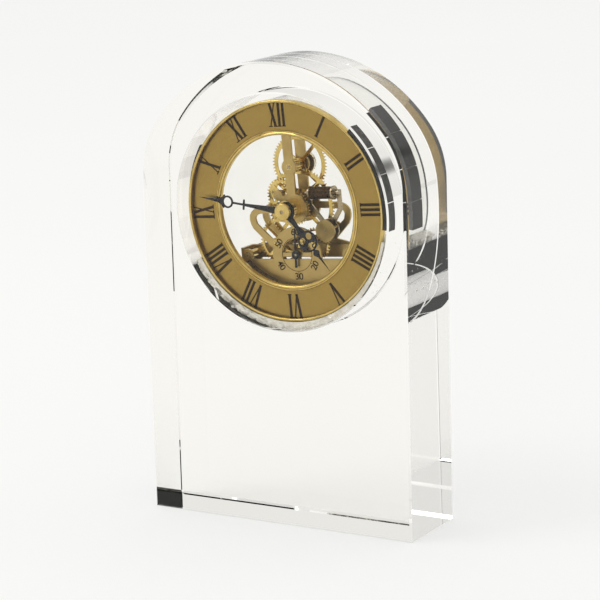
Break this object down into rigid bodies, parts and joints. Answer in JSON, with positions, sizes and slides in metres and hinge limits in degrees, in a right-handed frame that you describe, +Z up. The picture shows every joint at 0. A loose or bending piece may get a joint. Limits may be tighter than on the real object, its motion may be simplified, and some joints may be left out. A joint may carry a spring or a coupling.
{
  "type": "crystal mantel clock",
  "caption": "Arch-topped clear crystal block clock with a removable round skeleton quartz insert, gold dial ring, Roman numerals and blue-black hands.",
  "frame": {"origin": "centre of the base of the crystal block, on the surface it stands on", "axes": "+Z up, +X to the right seen from the front, +Y from the front face to the back"},
  "size_m": [0.115, 0.035, 0.18],
  "materials": {
    "crystal": "polished optical crystal",
    "clear_plastic": "clear moulded acrylic",
    "dial_gold": "satin gold plate with a fine grain",
    "polished_gold": "polished gold plate",
    "plate_gold": "matt champagne gold plate",
    "dark_gold": "dark bronzed wall",
    "numeral_ink": "dark brown print",
    "blued_steel": "blue-black hand lacquer",
    "rubber": "ribbed black rubber",
    "steel": "turned steel",
    "silver_foil": "crumpled silver foil",
    "coil_wire": "lacquered copper winding",
    "circuit_board": "green glass-fibre board",
    "chip": "black epoxy",
    "magnet": "sintered magnet",
    "cell_jacket": "plain printed cell jacket"
  },
  "bodies": {
    "case": {"crystal_block": "crystal"},
    "insert": {"drum": "clear_plastic", "bezel_rim": "polished_gold", "dial_ring": "dial_gold", "dial_lip": "polished_gold", "hour_numerals": "numeral_ink", "lower_skirt": "dark_gold", "right_grip_pad": "rubber", "left_grip_pad": "rubber", "packing_foil": "silver_foil", "front_plate": "plate_gold", "back_plate": "plate_gold", "pillars": "polished_gold", "plate_screws": "steel", "front_bushes": "polished_gold", "back_bushes": "polished_gold", "centre_bush": "polished_gold", "minute_stud": "steel", "seconds_scale": "numeral_ink", "battery_cradle": "plate_gold", "positive_contact": "steel", "negative_contact": "steel", "circuit_board": "circuit_board", "quartz_can": "steel", "driver_chip": "chip", "coil_core": "steel", "coil_winding": "coil_wire", "stator": "steel", "rotor_bridge": "plate_gold"},
    "centre": {"centre_arbor": "steel", "centre_wheel": "polished_gold", "setting_drive_wheel": "polished_gold", "cannon_pinion": "polished_gold", "minute_hand": "blued_steel", "hand_nut": "polished_gold"},
    "hour": {"hour_wheel": "polished_gold", "hour_hand": "blued_steel"},
    "minute_work": {"minute_wheel": "polished_gold"},
    "third": {"third_arbor": "steel", "third_wheel": "polished_gold"},
    "seconds": {"seconds_arbor": "steel", "seconds_wheel": "polished_gold", "seconds_hand": "blued_steel"},
    "intermediate": {"intermediate_arbor": "steel", "intermediate_wheel": "polished_gold"},
    "rotor": {"rotor_magnet": "magnet", "rotor_arbor": "steel"},
    "setting": {"setting_arbor": "steel", "setting_pinion": "polished_gold", "setting_wheel": "polished_gold", "setting_knob": "plate_gold"},
    "cover": {"back_cover": "clear_plastic"},
    "cell": {"battery": "cell_jacket"}
  },
  "joints": [
    {"name": "insert_slide", "type": "slide", "parent": "case", "child": "insert", "axis": [0, 1, 0], "range_m": [0, 0.024]},
    {"name": "centre_turn", "type": "hinge", "parent": "insert", "child": "centre", "pos_m": [0, 0.0085, 0.1214], "axis": [0, 1, 0], "continuous": true},
    {"name": "hour_turn", "type": "hinge", "parent": "insert", "child": "hour", "pos_m": [0, 0.0085, 0.1214], "axis": [0, 1, 0], "continuous": true},
    {"name": "minute_work_turn", "type": "hinge", "parent": "insert", "child": "minute_work", "pos_m": [-0.00651, 0.0085, 0.12605], "axis": [0, 1, 0], "continuous": true},
    {"name": "third_turn", "type": "hinge", "parent": "insert", "child": "third", "pos_m": [-0.00806, 0.0085, 0.10735], "axis": [0, 1, 0], "continuous": true},
    {"name": "seconds_turn", "type": "hinge", "parent": "insert", "child": "seconds", "pos_m": [0.0014, 0.0085, 0.10356], "axis": [0, 1, 0], "continuous": true},
    {"name": "intermediate_turn", "type": "hinge", "parent": "insert", "child": "intermediate", "pos_m": [0.00857, 0.0085, 0.10794], "axis": [0, 1, 0], "continuous": true},
    {"name": "rotor_turn", "type": "hinge", "parent": "insert", "child": "rotor", "pos_m": [0.01334, 0.0085, 0.11334], "axis": [0, 1, 0], "continuous": true},
    {"name": "setting_turn", "type": "hinge", "parent": "insert", "child": "setting", "pos_m": [-0.00126, 0.0085, 0.13735], "axis": [0, 1, 0], "continuous": true},
    {"name": "cover_slide", "type": "slide", "parent": "insert", "child": "cover", "axis": [0, 1, 0], "range_m": [0, 0.015]},
    {"name": "cell_slide", "type": "slide", "parent": "insert", "child": "cell", "axis": [0, 1, 0], "range_m": [0, 0.009]}
  ],
  "couplings": [
    {"joint": "third_turn", "follows": "centre_turn", "ratio": -8},
    {"joint": "seconds_turn", "follows": "centre_turn", "ratio": 60},
    {"joint": "minute_work_turn", "follows": "centre_turn", "ratio": -0.33333},
    {"joint": "hour_turn", "follows": "centre_turn", "ratio": 0.083333},
    {"joint": "setting_turn", "follows": "centre_turn", "ratio": -0.37931},
    {"joint": "intermediate_turn", "follows": "centre_turn", "ratio": -360},
    {"joint": "rotor_turn", "follows": "centre_turn", "ratio": 1800},
    {"joint": "cell_slide", "follows": "cover_slide", "ratio": 0.6}
  ]
}
